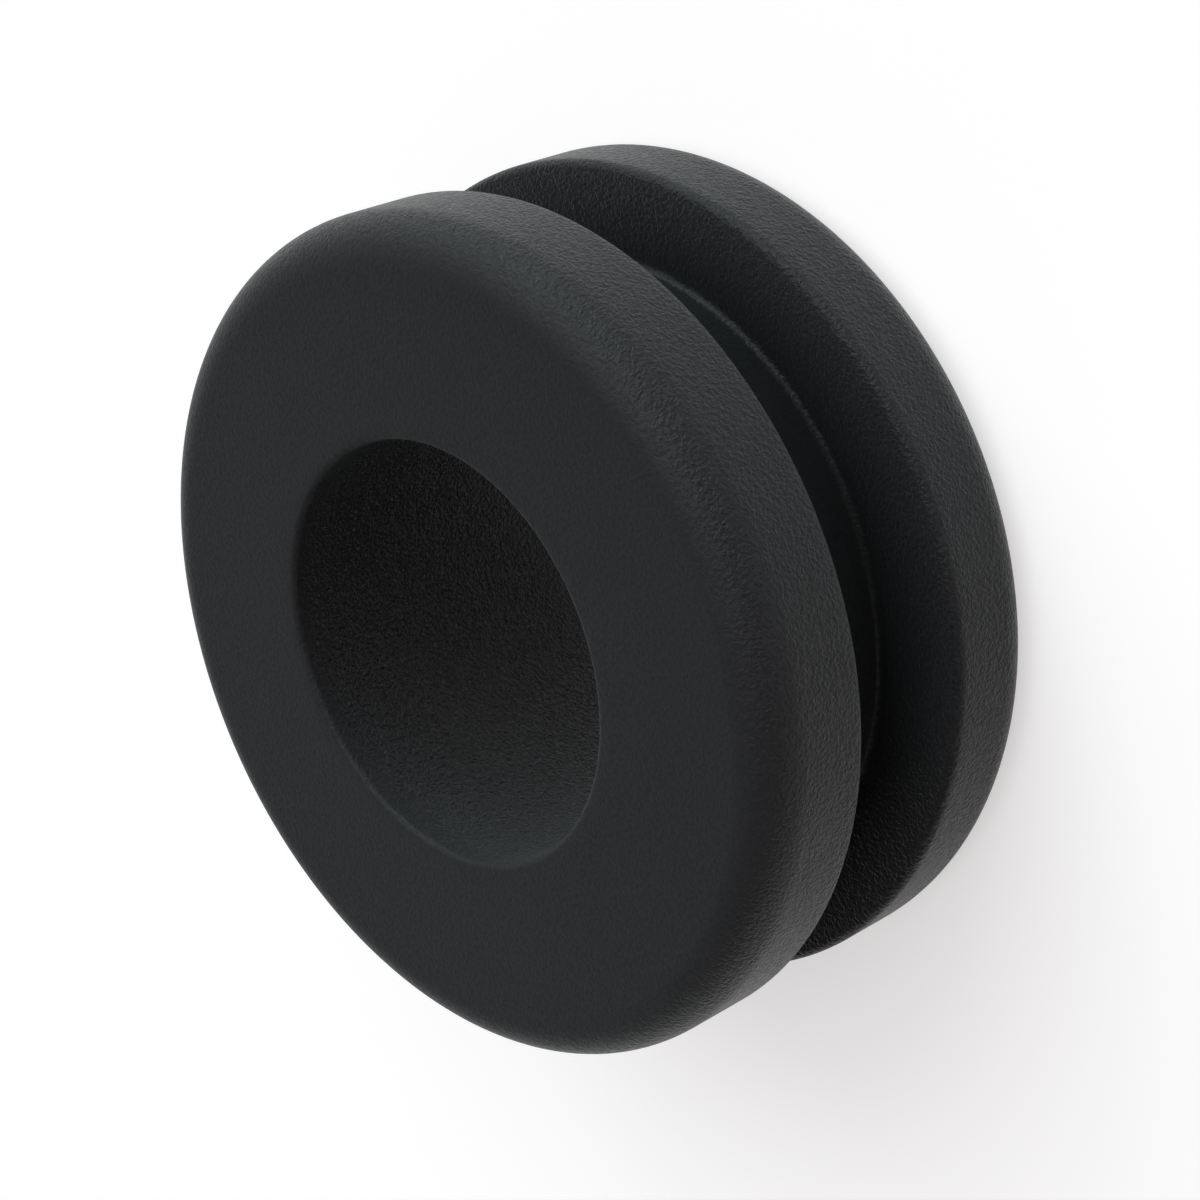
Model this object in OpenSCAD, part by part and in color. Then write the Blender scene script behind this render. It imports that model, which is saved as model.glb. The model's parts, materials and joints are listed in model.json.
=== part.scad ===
// Panel grommet: a rubber bushing that lines a round hole in a sheet and
// protects the cable that runs through it.
//
// It is one moulding, a body of revolution about the Z axis: a sleeve with a
// flange at each end, and between the flanges a groove that holds the edge of
// the panel. The upper flange is slightly thicker than the lower one. The
// origin is the centre of the lower face, which the grommet stands on.

/* [Cable hole] */
// Diameter of the hole that the cable runs through
bore_d = 9; // [3:0.1:11]
// Radius on the rim of the hole at both faces
bore_rim_r = 0.15; // [0.05:0.05:0.5]

/* [Panel groove] */
// Diameter of the panel hole, which is the bottom of the groove
groove_d = 14; // [12:0.1:15.5]
// Width of the groove, which grips the edge of the panel
groove_w = 2.85; // [1:0.05:8]
// Fillet where the bottom of the groove meets a flange
groove_fillet_r = 0.2; // [0.05:0.05:0.4]

/* [Flanges] */
// Outside diameter of the flanges
flange_d = 18; // [17:0.1:26]
// Thickness of the lower flange
lower_flange_t = 2.5; // [1.8:0.05:5]
// Thickness of the upper flange
upper_flange_t = 2.65; // [1.8:0.05:5]
// Radius on the outer corner of each flange, at the end faces
shoulder_r = 1; // [0.2:0.05:1.3]
// Radius on the edge of each flange that faces the panel
lip_r = 0.2; // [0.05:0.05:0.3]

/* [Hidden] */

// Height of the groove's upper side, where the upper flange begins
groove_top = lower_flange_t + groove_w;
// Height from the lower face to the upper face
body_h = groove_top + upper_flange_t;
// How far a cut reaches out of the material, and a fill reaches into it
reach = 0.1;
// Colour of the rubber
black_rubber = [0.1, 0.105, 0.11];
$fn = 128;

// What a rounded corner loses. The corner is at the origin, with the material
// towards -X and -Y.
module corner_cut(r) {
  translate([-r, -r])
    difference() {
      square(r + reach);
      circle(r);
    }
}

// What a fillet adds. The inside corner is at the origin, with the open side
// towards +X and +Y.
module corner_fill(r) {
  difference() {
    translate([-reach, -reach])
      square(r + reach);
    translate([r, r])
      circle(r);
  }
}

// Puts a shape drawn at the lower face there, and its mirror image at the
// upper face
module at_both_ends() {
  children();
  translate([0, body_h])
    mirror([0, 1])
      children();
}

// Puts a shape drawn at Y = 0, where the lower flange would end, at that side
// of the groove, and its mirror image at the other
module at_both_groove_sides() {
  translate([0, lower_flange_t])
    children();
  translate([0, groove_top])
    mirror([0, 1])
      children();
}

// Section with square corners. X is the radius and Y the height. The sleeve
// runs through both flanges.
module square_section() {
  translate([bore_d / 2, 0]) {
    square([(groove_d - bore_d) / 2, body_h]);
    square([(flange_d - bore_d) / 2, lower_flange_t]);
    translate([0, groove_top])
      square([(flange_d - bore_d) / 2, upper_flange_t]);
  }
}

// Section with its corners rounded and the groove's inside corners filled
module section() {
  difference() {
    square_section();
    at_both_ends()
      translate([flange_d / 2, 0])
        mirror([0, 1])
          corner_cut(shoulder_r);
    at_both_ends()
      translate([bore_d / 2, 0])
        rotate(180)
          corner_cut(bore_rim_r);
    at_both_groove_sides()
      translate([flange_d / 2, 0])
        corner_cut(lip_r);
  }
  at_both_groove_sides()
    translate([groove_d / 2, 0])
      corner_fill(groove_fillet_r);
}

// The whole moulding, turned about Z
module grommet() {
  color(black_rubber)
    rotate_extrude()
      section();
}

grommet();
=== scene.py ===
# %% [markdown]
# # A moulded rubber grommet
#
# A grommet lines a round hole in a sheet, so that a cable can pass without
# rubbing on the cut edge. This one is a single rubber moulding: a short sleeve
# with a flange at each end, and a groove between the flanges that grips the
# sheet. The lesson turns that section into a solid with Geometry Nodes, gives
# it the finely grained skin of moulded rubber, and stands it on a pale floor
# in soft light.
#
# The first cell loads the measured solid. It fixes the size and the place of
# everything that follows.

# %% Load the frame
import json
import math

import bpy
from mathutils import Matrix, Vector


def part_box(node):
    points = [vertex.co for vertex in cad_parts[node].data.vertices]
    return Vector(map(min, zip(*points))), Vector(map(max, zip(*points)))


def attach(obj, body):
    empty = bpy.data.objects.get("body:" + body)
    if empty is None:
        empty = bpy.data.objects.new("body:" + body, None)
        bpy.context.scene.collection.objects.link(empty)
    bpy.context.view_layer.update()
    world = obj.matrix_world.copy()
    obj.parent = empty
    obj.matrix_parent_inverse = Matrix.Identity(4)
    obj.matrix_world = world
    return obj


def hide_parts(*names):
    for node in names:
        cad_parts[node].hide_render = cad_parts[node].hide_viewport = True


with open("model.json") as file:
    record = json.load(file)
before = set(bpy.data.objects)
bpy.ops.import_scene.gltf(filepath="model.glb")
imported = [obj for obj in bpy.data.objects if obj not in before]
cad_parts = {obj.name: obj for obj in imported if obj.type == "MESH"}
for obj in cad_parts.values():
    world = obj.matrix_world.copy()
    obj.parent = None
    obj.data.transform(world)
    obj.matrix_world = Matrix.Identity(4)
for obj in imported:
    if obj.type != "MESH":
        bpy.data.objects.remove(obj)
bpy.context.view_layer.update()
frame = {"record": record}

# %% [markdown]
# ## The sizes
#
# Blender works in metres here, and a grommet is drawn in millimetres, so one
# name turns the one into the other. The outside diameter and the height come
# from the loaded solid, and the hole's radius from its record. The rest are
# the sizes that a toolmaker would read off the mould drawing.

# %% Sizes of the moulding
MM = 0.001

low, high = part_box("grommet")
mounts = {mount["name"]: mount for mount in frame["record"]["mounts"]}

flange_r = (high[0] - low[0]) / 2
body_h = high[2] - low[2]
bore_r = mounts["cable_hole"]["dims"]["r_mm"] * MM
groove_r = 7.0 * MM
groove_w = 2.85 * MM
lower_flange_t = 2.5 * MM
upper_flange_t = body_h - lower_flange_t - groove_w

shoulder_r = 1.0 * MM       # the big round at each end of the part
lip_r = 0.2 * MM            # where a flange turns in to the groove
bore_rim_r = 0.15 * MM      # where the hole meets an end face
groove_fillet_r = 0.2 * MM  # in the two corners of the groove
print(f"flanges {2e3 * flange_r:.2f} mm across, {1e3 * lower_flange_t:.2f} and {1e3 * upper_flange_t:.2f} mm thick")
print(f"grommet {1e3 * body_h:.2f} mm tall")

# %% [markdown]
# ## Small helpers for node trees
#
# Every tree in this lesson is made of nodes that are placed, set and wired in
# code. A few helpers keep that readable: one adds a node and sets its
# properties and inputs, one gives the output of a small sum, one makes a value
# rise or fall over a distance, and one adds a named input to a group.

# %% Node helpers
def add(tree, kind, inputs=None, **settings):
    """Adds a node. Each input is a plain value or another node's output."""
    made = tree.nodes.new(kind)
    for name, value in settings.items():
        setattr(made, name, value)
    for key, value in (inputs or {}).items():
        if isinstance(value, bpy.types.NodeSocket):
            tree.links.new(value, made.inputs[key])
        else:
            made.inputs[key].default_value = value
    return made


def sum_of(tree, operation, *terms):
    """The output of a Math node: ADD, SUBTRACT, MULTIPLY, DIVIDE and so on."""
    return add(tree, "ShaderNodeMath", dict(enumerate(terms)), operation=operation).outputs[0]


def ramp(tree, value, start, end, first, last, interpolation="LINEAR"):
    """Goes from the first level to the last as the value goes from start to end."""
    return add(tree, "ShaderNodeMapRange", {
        "Value": value, "From Min": start, "From Max": end, "To Min": first, "To Max": last},
        interpolation_type=interpolation).outputs[0]


def socket(tree, name, kind, direction="INPUT", value=None, low=None, high=None):
    """Adds a named input or output to a node group."""
    made = tree.interface.new_socket(name, in_out=direction, socket_type=kind)
    if value is not None:
        made.default_value = value
    if low is not None:
        made.min_value = low
    if high is not None:
        made.max_value = high
    return made

# %% [markdown]
# ## The section of the moulding
#
# Cut the grommet through its axis and each half shows the same eight-cornered
# outline, a letter C that opens outwards. It could be drawn point by point, but
# then every round would be a list of numbers. Here the tree holds only the
# eight sharp corners and the radius of each, and the Fillet Curve node rounds
# them, just as the cutter rounds the mould. X is the distance from the axis
# and Y the height.

# %% The outline's corners
def outline_corners(tree, size):
    """The eight corners as (x, y, fillet radius), from the inside bottom round to the inside top."""
    top = size["Height"]
    lower = size["Lower flange"]
    upper = sum_of(tree, "ADD", lower, size["Groove width"])
    return [
        (size["Hole radius"], 0.0, size["Hole rim radius"]),
        (size["Flange radius"], 0.0, size["Shoulder radius"]),
        (size["Flange radius"], lower, size["Lip radius"]),
        (size["Groove radius"], lower, size["Groove fillet"]),
        (size["Groove radius"], upper, size["Groove fillet"]),
        (size["Flange radius"], upper, size["Lip radius"]),
        (size["Flange radius"], top, size["Shoulder radius"]),
        (size["Hole radius"], top, size["Hole rim radius"]),
    ]


def pick_by_index(tree, kind, values):
    """An Index Switch that hands each point its own value, by the point's number."""
    chooser = add(tree, "GeometryNodeIndexSwitch", data_type=kind)
    while len(chooser.index_switch_items) < len(values):
        chooser.index_switch_items.new()
    tree.links.new(add(tree, "GeometryNodeInputIndex").outputs[0], chooser.inputs[0])
    for place, value in enumerate(values):
        if isinstance(value, bpy.types.NodeSocket):
            tree.links.new(value, chooser.inputs[place + 1])
        else:
            chooser.inputs[place + 1].default_value = value
    return chooser.outputs[0]

# %% The rounded outline
def section_curve(tree, size):
    """A closed curve with true rounds. Its straight runs are cut into short steps."""
    corners = outline_corners(tree, size)
    places = [add(tree, "ShaderNodeCombineXYZ", {"X": x, "Y": y}).outputs[0] for x, y, _ in corners]
    radii = [radius for _, _, radius in corners]
    line = add(tree, "GeometryNodeMeshLine", {"Count": len(corners)})
    placed = add(tree, "GeometryNodeSetPosition", {
        "Geometry": line.outputs[0], "Position": pick_by_index(tree, "VECTOR", places)})
    curve = add(tree, "GeometryNodeMeshToCurve", {"Mesh": placed.outputs[0]})
    closed = add(tree, "GeometryNodeSetSplineCyclic", {"Geometry": curve.outputs[0], "Cyclic": True})
    # a quarter round gets one step for each few hundredths of a millimetre
    steps = [sum_of(tree, "ADD", sum_of(tree, "DIVIDE", radius, size["Round step"]), 4.0) for radius in radii]
    counts = [add(tree, "FunctionNodeFloatToInt", {"Float": step}, rounding_mode="ROUND").outputs[0] for step in steps]
    rounded = add(tree, "GeometryNodeFilletCurve", {
        "Curve": closed.outputs[0], "Count": pick_by_index(tree, "INT", counts),
        "Radius": pick_by_index(tree, "FLOAT", radii)}, mode="POLY")
    return subdivide_long_runs(tree, rounded.outputs[0], size["Straight step"])


def subdivide_long_runs(tree, curve, step):
    """Cuts each straight run so that no piece is much longer than the step."""
    here = add(tree, "GeometryNodeInputPosition").outputs[0]
    number = add(tree, "GeometryNodeInputIndex").outputs[0]
    following = add(tree, "GeometryNodeOffsetPointInCurve", {"Point Index": number, "Offset": 1})
    there = add(tree, "GeometryNodeFieldAtIndex", data_type="FLOAT_VECTOR", domain="POINT")
    tree.links.new(here, there.inputs["Value"])
    tree.links.new(following.outputs["Point Index"], there.inputs["Index"])
    run = add(tree, "ShaderNodeVectorMath", {0: here, 1: there.outputs[0]}, operation="DISTANCE").outputs["Value"]
    cuts = add(tree, "FunctionNodeFloatToInt", {"Float": sum_of(tree, "DIVIDE", run, step)}, rounding_mode="FLOOR")
    return add(tree, "GeometryNodeSubdivideCurve", {"Curve": curve, "Cuts": cuts.outputs[0]}).outputs[0]

# %% [markdown]
# ## Turning the section
#
# A lathe or a mould cavity both make the same thing: the section carried round
# the axis. Curve to Mesh does that when the path is a circle. The path here
# runs where the bottom of the groove does, so the section is first moved
# inwards by that radius. The Spin tool would do as well, but a tree keeps
# every size as a named input that can still be changed.

# %% The turning tree
def turning_tree():
    tree = bpy.data.node_groups.new("Turned moulding", "GeometryNodeTree")
    socket(tree, "Geometry", "NodeSocketGeometry", "OUTPUT")
    for name, value in TURNING_SIZES.items():
        socket(tree, name, "NodeSocketFloat", value=value, low=0.0)
    socket(tree, "Steps round", "NodeSocketInt", value=STEPS_ROUND, low=12)
    socket(tree, "Material", "NodeSocketMaterial")
    size = add(tree, "NodeGroupInput").outputs
    away = add(tree, "ShaderNodeCombineXYZ", {"X": sum_of(tree, "MULTIPLY", size["Groove radius"], -1.0)})
    section = add(tree, "GeometryNodeTransform", {
        "Geometry": section_curve(tree, size), "Translation": away.outputs[0], "Scale": (1.0, -1.0, 1.0)})
    path = add(tree, "GeometryNodeCurvePrimitiveCircle", {
        "Resolution": size["Steps round"], "Radius": size["Groove radius"]}, mode="RADIUS")
    swept = add(tree, "GeometryNodeCurveToMesh", {
        "Curve": path.outputs[0], "Profile Curve": section.outputs[0]})
    smooth = add(tree, "GeometryNodeSetShadeSmooth", {"Geometry": swept.outputs[0]})
    real = add(tree, "GeometryNodeRealizeInstances", {"Geometry": smooth.outputs[0]})
    finished = add(tree, "GeometryNodeSetMaterial", {"Geometry": real.outputs[0], "Material": size["Material"]})
    add(tree, "NodeGroupOutput", {"Geometry": finished.outputs[0]})
    return tree


TURNING_SIZES = {
    "Hole radius": bore_r,
    "Flange radius": flange_r,
    "Groove radius": groove_r,
    "Lower flange": lower_flange_t,
    "Groove width": groove_w,
    "Height": body_h,
    "Shoulder radius": shoulder_r,
    "Lip radius": lip_r,
    "Hole rim radius": bore_rim_r,
    "Groove fillet": groove_fillet_r,
    "Round step": 0.08 * MM,
    "Straight step": 0.25 * MM,
}
STEPS_ROUND = 320
turning = turning_tree()
print("turning tree:", len(turning.nodes), "nodes")

# %% [markdown]
# ## The skin of the rubber
#
# The steel of the mould was spark-eroded or etched, so the rubber comes out
# with a very fine leathery grain all over: short, winding wrinkles about a
# tenth of a millimetre apart, and only a few hundredths of a millimetre deep.
# They are far too fine to model as faces, so they are a height that the shader
# bends the light with. A noise with little fine detail gives wrinkles of one
# size and no sand between them, and a slight distortion makes them wind. It is
# read in the object's own coordinates, so the grain is the same size on every
# face and runs over the rims without a seam.
#
# The grain isn't equally deep all over. The flat ends of a mould are easily
# ground smooth, so it is shallow there and deepens over the shoulders. The pin
# that forms the hole is the roughest part. At the bottom of the groove the
# grain softens, and the colour there is darkened as painted shade. Distances
# from the axis and along it tell the shader which of these places it is in.

# %% Places on the moulding
def distance_from(tree, value, middle):
    return sum_of(tree, "ABSOLUTE", sum_of(tree, "SUBTRACT", value, middle))


def distance_from_axis(tree, place):
    squares = [sum_of(tree, "MULTIPLY", place[name], place[name]) for name in ("X", "Y")]
    return sum_of(tree, "SQRT", sum_of(tree, "ADD", *squares))


def depth_outside(tree, up, on_the_faces):
    """Full on the sides of the flanges, and shallow on the two end faces."""
    return ramp(tree, distance_from(tree, up, body_h / 2),
                body_h / 2 - 0.45 * MM, body_h / 2, 1.0, on_the_faces)


def depth_in_hole(tree, up, in_the_hole):
    """Full inside the hole, and half of the outside's at its two rims, so that they stay clean."""
    return ramp(tree, distance_from(tree, up, body_h / 2),
                body_h / 2 - 1.2 * MM, body_h / 2 - 0.1 * MM, in_the_hole, 0.5)


def shelter_of_groove(tree, up, across):
    """1 at the bottom of the groove, falling to 0 where the flanges end, and 0 everywhere else."""
    between_flanges = ramp(tree, distance_from(tree, up, lower_flange_t + groove_w / 2),
                           groove_w / 2 + 0.05 * MM, groove_w / 2 + 0.3 * MM, 1.0, 0.0, "SMOOTHSTEP")
    far_in = ramp(tree, across, groove_r, flange_r, 1.0, 0.0)
    outside_hole = sum_of(tree, "GREATER_THAN", across, (bore_r + groove_r) / 2)
    return sum_of(tree, "MULTIPLY", outside_hole, sum_of(tree, "MULTIPLY", between_flanges, far_in))

# %% The grain group
def grain_group():
    tree = bpy.data.node_groups.new("Moulded grain", "ShaderNodeTree")
    socket(tree, "Wrinkle size", "NodeSocketFloat", value=0.085 * MM)
    socket(tree, "Winding", "NodeSocketFloat", value=0.6, low=0.0)
    socket(tree, "Blotch size", "NodeSocketFloat", value=2.0 * MM)
    socket(tree, "On the faces", "NodeSocketFloat", value=0.22)
    socket(tree, "In the hole", "NodeSocketFloat", value=3.0)
    socket(tree, "In the groove", "NodeSocketFloat", value=0.4)
    for name in ("Height", "Crease", "Blotch", "Unshaded full grain", "Shallow"):
        socket(tree, name, "NodeSocketFloat", "OUTPUT")
    given = add(tree, "NodeGroupInput").outputs
    position = add(tree, "ShaderNodeTexCoord").outputs["Object"]
    wrinkles = add(tree, "ShaderNodeTexNoise", {
        "Vector": position, "Scale": sum_of(tree, "DIVIDE", 1.0, given["Wrinkle size"]),
        "Detail": 1.0, "Roughness": 0.5, "Distortion": given["Winding"]}).outputs["Fac"]
    blotches = add(tree, "ShaderNodeTexNoise", {
        "Vector": position, "Scale": sum_of(tree, "DIVIDE", 1.0, given["Blotch size"]),
        "Detail": 3.0, "Roughness": 0.6}).outputs["Fac"]
    place = add(tree, "ShaderNodeSeparateXYZ", {0: position}).outputs
    across = distance_from_axis(tree, place)
    outside = depth_outside(tree, place["Z"], given["On the faces"])
    depth = ramp(tree, across, bore_r + 0.01 * MM, bore_r + bore_rim_r,
                 depth_in_hole(tree, place["Z"], given["In the hole"]), outside)
    sheltered = shelter_of_groove(tree, place["Z"], across)
    # Painted shade: towards the bottom of the groove the colour is darkened, and the grain is made shallower.
    lost = sum_of(tree, "MULTIPLY", sheltered, sum_of(tree, "SUBTRACT", 1.0, given["In the groove"]))
    unshaded_full_grain = sum_of(tree, "SUBTRACT", 1.0, lost)
    add(tree, "NodeGroupOutput", {
        "Height": sum_of(tree, "MULTIPLY", sum_of(tree, "SUBTRACT", wrinkles, 0.5), sum_of(tree, "MULTIPLY", depth, unshaded_full_grain)),
        "Crease": ramp(tree, wrinkles, 0.35, 0.6, 1.0, 0.0, "SMOOTHSTEP"),
        "Blotch": blotches,
        "Unshaded full grain": unshaded_full_grain,
        "Shallow": sum_of(tree, "SUBTRACT", 1.0, outside)})
    return tree


grain = grain_group()
print("grain group:", len(grain.nodes), "nodes")

# %% [markdown]
# ## Black rubber
#
# Carbon black makes the rubber a very dark grey. Seen straight on it hardly
# shines, because its own fine roughness scatters what little it reflects, so
# the index of refraction is set lower than a polished plastic's. At a glancing
# angle every surface turns into a mirror, and there the rims pick up a soft
# silvery light. The floors of the creases are duller than the crests, and their
# colour is a shade darker: painted shade, for the shadow in the creases that the
# bump alone doesn't cast. The flat ends are duller still, so that light fades
# onto them from the shoulders without an edge.
#
# Two faint things finish it. Rubber sweats out a trace of wax, called bloom,
# which shows as a thin haze at the rims; that is the sheen. And the bottom of
# the groove is painted a deeper black than the outside: painted shade, for the
# little light that reaches down there.

# %% The rubber material
def black_rubber_material():
    material = bpy.data.materials.new("black_rubber")
    material.use_nodes = True
    tree = material.node_tree
    shader = tree.nodes["Principled BSDF"]
    shader.inputs["IOR"].default_value = RUBBER_IOR
    shader.inputs["Sheen Weight"].default_value = BLOOM
    shader.inputs["Sheen Roughness"].default_value = BLOOM_ROUGHNESS
    shader.inputs["Sheen Tint"].default_value = (*BLOOM_TINT, 1.0)
    skin = add(tree, "ShaderNodeGroup", node_tree=grain).outputs
    tree.links.new(rubber_colour(tree, skin), shader.inputs["Base Color"])
    tree.links.new(rubber_roughness(tree, skin), shader.inputs["Roughness"])
    bump = add(tree, "ShaderNodeBump", {"Strength": 1.0, "Distance": GRAIN_DEPTH, "Height": skin["Height"]})
    tree.links.new(bump.outputs[0], shader.inputs["Normal"])
    return material


def rubber_colour(tree, skin):
    """Two blacks in faint blotches, with painted shade in the creases and down in the groove."""
    tint = add(tree, "ShaderNodeMix", {"Factor": skin["Blotch"]}, data_type="RGBA")
    tint.inputs["A"].default_value = (*RUBBER_DARK, 1.0)
    tint.inputs["B"].default_value = (*RUBBER_LIGHT, 1.0)
    # Painted shade: the colour goes towards black in the creases of the grain and at the bottom of the groove.
    in_creases = sum_of(tree, "SUBTRACT", 1.0, sum_of(tree, "MULTIPLY", skin["Crease"], CREASE_SHADE))
    shade = add(tree, "ShaderNodeMix", {"Factor": sum_of(tree, "MULTIPLY", skin["Unshaded full grain"], in_creases)}, data_type="RGBA")
    shade.inputs["A"].default_value = (0.0, 0.0, 0.0, 1.0)
    tree.links.new(tint.outputs["Result"], shade.inputs["B"])
    return shade.outputs["Result"]


def rubber_roughness(tree, skin):
    """Duller in the creases, and on the flat ends."""
    grained = ramp(tree, skin["Crease"], 0.0, 1.0, CREST_ROUGHNESS, CREASE_ROUGHNESS)
    return sum_of(tree, "ADD", grained, sum_of(tree, "MULTIPLY", skin["Shallow"], ADDED_ON_FACES))


RUBBER_DARK = (0.0190, 0.0184, 0.0202)
RUBBER_LIGHT = (0.0225, 0.0218, 0.0238)
RUBBER_IOR = 1.22
CREASE_SHADE = 0.20
CREST_ROUGHNESS = 0.33
CREASE_ROUGHNESS = 0.43
ADDED_ON_FACES = 0.25
GRAIN_DEPTH = 0.049 * MM
BLOOM = 0.08
BLOOM_ROUGHNESS = 0.5
BLOOM_TINT = (0.9, 1.0, 1.0)
black_rubber = black_rubber_material()
print(f"rubber: grain {1e3 * GRAIN_DEPTH:.3f} mm deep, index of refraction {RUBBER_IOR}")

# %% [markdown]
# ## Making the piece
#
# The modifier's inputs are set by the sockets' identifiers, because two
# sockets may share a name. Then the evaluated result is copied out as a plain
# mesh, and the modifier goes.

# %% Turn the grommet
def plain_mesh_from_tree(name, tree, values):
    """Runs a Geometry Nodes tree once and keeps its result as an ordinary mesh object."""
    host = bpy.data.objects.new(name, bpy.data.meshes.new(name))
    bpy.context.scene.collection.objects.link(host)
    modifier = host.modifiers.new("tree", "NODES")
    modifier.node_group = tree
    identifiers = {item.name: item.identifier for item in tree.interface.items_tree if item.in_out == "INPUT"}
    for key, value in values.items():
        modifier[identifiers[key]] = value
    evaluated = host.evaluated_get(bpy.context.evaluated_depsgraph_get())
    mesh = bpy.data.meshes.new_from_object(evaluated)
    host.modifiers.clear()
    host.data = mesh
    mesh.name = name
    return host


moulding = plain_mesh_from_tree("grommet_moulding", turning, {**TURNING_SIZES, "Steps round": STEPS_ROUND, "Material": black_rubber})
print("moulding:", len(moulding.data.vertices), "vertices,", len(moulding.data.polygons), "faces")

# %% Check which way the faces point
def enclosed_volume(mesh):
    """Volume by the divergence theorem; it is negative if the faces point inwards."""
    mesh.calc_loop_triangles()
    total = 0.0
    for triangle in mesh.loop_triangles:
        a, b, c = (mesh.vertices[i].co for i in triangle.vertices)
        total += a.dot(b.cross(c)) / 6
    return total


if enclosed_volume(moulding.data) < 0:
    moulding.data.flip_normals()
print(f"volume {enclosed_volume(moulding.data) * 1e9:.1f} mm3")

# %% Fix the moulding to the frame
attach(moulding, "root")
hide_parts("grommet")

# %% [markdown]
# ## Light
#
# Small black parts are pictured in a lot of soft light, because only broad
# reflections show their rounds. Each lamp here is very large and far away, so
# that it lights the floor evenly as well. Its level says how bright a white
# card that faces it would be, and the levels that fall on the floor add up to
# about 0.8, so a colour shows about as it is written.
#
# The key lamp stands high and to the right. A second one, lower and further
# round, brightens the rims on that side, and a small cool one near the floor
# carries that light a little way up the shoulders. A faint one overhead lifts
# the hole, and a faint one behind parts the back from the shade.

# %% The lamps
def soft_lamp(name, azimuth, elevation, half_angle, level, tint=(1.0, 1.0, 1.0)):
    """A wide, distant lamp. Azimuth 0 is the camera's side, and 90 is the right of it."""
    a, e, h = math.radians(azimuth), math.radians(elevation), math.radians(half_angle)
    towards = Vector((math.sin(a) * math.cos(e), -math.cos(a) * math.cos(e), math.sin(e)))
    lamp = bpy.data.lights.new(name, "SUN")
    lamp.angle = 2 * h
    lamp.energy = level * math.pi
    lamp.color = tint
    made = bpy.data.objects.new(name, lamp)
    made.rotation_euler = towards.to_track_quat("Z", "Y").to_euler()
    bpy.context.scene.collection.objects.link(made)
    return Vector(tint) * level * math.sin(e)


SKY_LEVEL = 0.03
on_floor = Vector((SKY_LEVEL, SKY_LEVEL, SKY_LEVEL))
on_floor += soft_lamp("key", 45, 55, 34, 0.51)
on_floor += soft_lamp("side", 80, 28, 36, 0.50, (0.93, 1.0, 1.0))
on_floor += soft_lamp("low side", 76, 8, 14, 0.27, (0.60, 1.0, 0.98))
on_floor += soft_lamp("top", 0, 80, 36, 0.08)
on_floor += soft_lamp("back", 210, 30, 36, 0.03)
print("light on the floor, of a full level:", [round(x, 2) for x in on_floor])

# %% [markdown]
# ## The white surroundings
#
# The part lies on a white sweep, as it would for a catalogue. A floor that
# went fully white by light alone would flood the part, so the floor is pale
# paint that also shines by itself, but only towards the camera and in
# reflections: it adds what the lamps leave short of white. Its shadow under
# the part stays. The surroundings do the same: the camera sees them white, and
# so do reflections as far up as a low backdrop would reach. Above that the
# room is dim, and the dark rubber keeps its depth.

# %% The floor
FLOOR_PAINT = 0.55
WHITE = (1.0, 1.0, 1.0, 1.0)
short_of_white = [1.0 - FLOOR_PAINT * x for x in on_floor]


def seen_rays(tree):
    """Light Path's rays that show a background: glossy and transmission rays, and the camera's."""
    rays = add(tree, "ShaderNodeLightPath").outputs
    return rays["Is Camera Ray"], sum_of(tree, "MAXIMUM", rays["Is Glossy Ray"], rays["Is Transmission Ray"])


def floor_material():
    material = bpy.data.materials.new("pale_floor")
    material.use_nodes = True
    tree = material.node_tree
    tree.nodes.clear()
    paint = add(tree, "ShaderNodeBsdfDiffuse", {"Color": (FLOOR_PAINT, FLOOR_PAINT, FLOOR_PAINT, 1.0)})
    shine = add(tree, "ShaderNodeEmission", {
        "Color": (*short_of_white, 1.0), "Strength": sum_of(tree, "MAXIMUM", *seen_rays(tree))})
    both = add(tree, "ShaderNodeAddShader", {0: paint.outputs[0], 1: shine.outputs[0]})
    add(tree, "ShaderNodeOutputMaterial", {"Surface": both.outputs[0]})
    return material


FLOOR_REACH = 20.0
corners = [(-FLOOR_REACH, -FLOOR_REACH, 0), (FLOOR_REACH, -FLOOR_REACH, 0), (FLOOR_REACH, FLOOR_REACH, 0), (-FLOOR_REACH, FLOOR_REACH, 0)]
floor_mesh = bpy.data.meshes.new("floor")
floor_mesh.from_pydata(corners, [], [(0, 1, 2, 3)])
floor_mesh.materials.append(floor_material())
floor = bpy.data.objects.new("floor", floor_mesh)
bpy.context.scene.collection.objects.link(floor)

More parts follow.
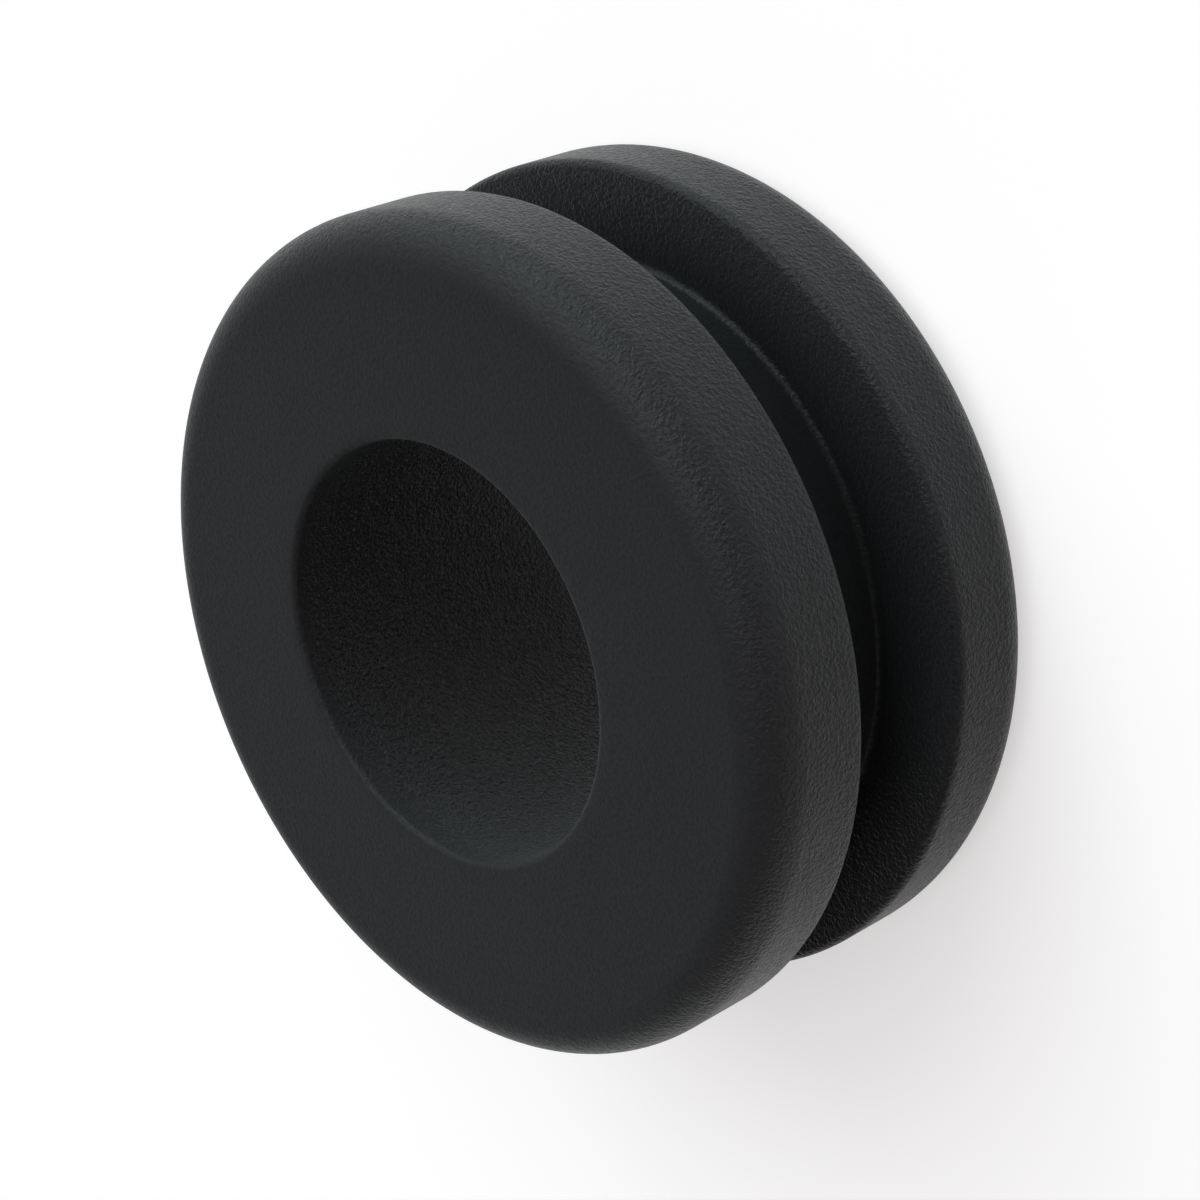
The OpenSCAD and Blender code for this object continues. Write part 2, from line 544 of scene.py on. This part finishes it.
# %% The room
def white_room():
    """A world that is white to the camera, white low down in reflections, and dim as light."""
    world = bpy.data.worlds.new("room")
    world.use_nodes = True
    tree = world.node_tree
    direction = add(tree, "ShaderNodeTexCoord").outputs["Generated"]
    height = add(tree, "ShaderNodeSeparateXYZ", {0: direction}).outputs["Z"]
    backdrop = ramp(tree, height, 0.15, 0.30, 1.0, 0.0)
    to_camera, in_reflections = seen_rays(tree)
    shown = sum_of(tree, "MAXIMUM", to_camera, sum_of(tree, "MULTIPLY", in_reflections, backdrop))
    strength = sum_of(tree, "MAXIMUM", shown, SKY_LEVEL)
    tree.links.new(strength, tree.nodes["Background"].inputs["Strength"])
    tree.nodes["Background"].inputs["Color"].default_value = WHITE
    return world


bpy.context.scene.world = white_room()
print("the floor adds towards the camera:", [round(x, 2) for x in short_of_white])

# %% [markdown]
# ## The camera
#
# The part stands on its flange, and the camera looks down on it from about 40
# degrees, close enough for the far flange to look smaller than the near one.
# The camera is also rolled well over, so that the grommet seems to stand on
# its rim with the hole facing out, the way such a part is usually shown.
# DISTANCE is measured along the view to the centre of the upper face, and
# ASIDE is how far that centre lies off the middle of the view.

# %% The camera
VIEW_ELEVATION = 90 - 49.792
ROLL = -(90 + 23.118)
LENS = 88.16
DISTANCE = 59.393 * MM
ASIDE = (-3.2711 * MM, -1.1325 * MM)

e, r = math.radians(VIEW_ELEVATION), math.radians(ROLL)
back = Vector((0, -math.cos(e), math.sin(e)))
level_right = Vector((1, 0, 0))
level_up = back.cross(level_right)
right = level_right * math.cos(r) + level_up * math.sin(r)
up = level_up * math.cos(r) - level_right * math.sin(r)
target = Vector((0, 0, body_h))
eye = target - right * ASIDE[0] - up * ASIDE[1] + back * DISTANCE

camera_data = bpy.data.cameras.new("camera")
camera_data.sensor_width = 36
camera_data.lens = LENS
camera_data.clip_start = 1 * MM
camera_data.dof.use_dof = False
camera = bpy.data.objects.new("camera", camera_data)
camera.matrix_world = Matrix((right, up, back)).transposed().to_4x4()
camera.matrix_world.translation = eye
bpy.context.scene.collection.objects.link(camera)
bpy.context.scene.camera = camera

bpy.context.scene.view_settings.view_transform = "Standard"
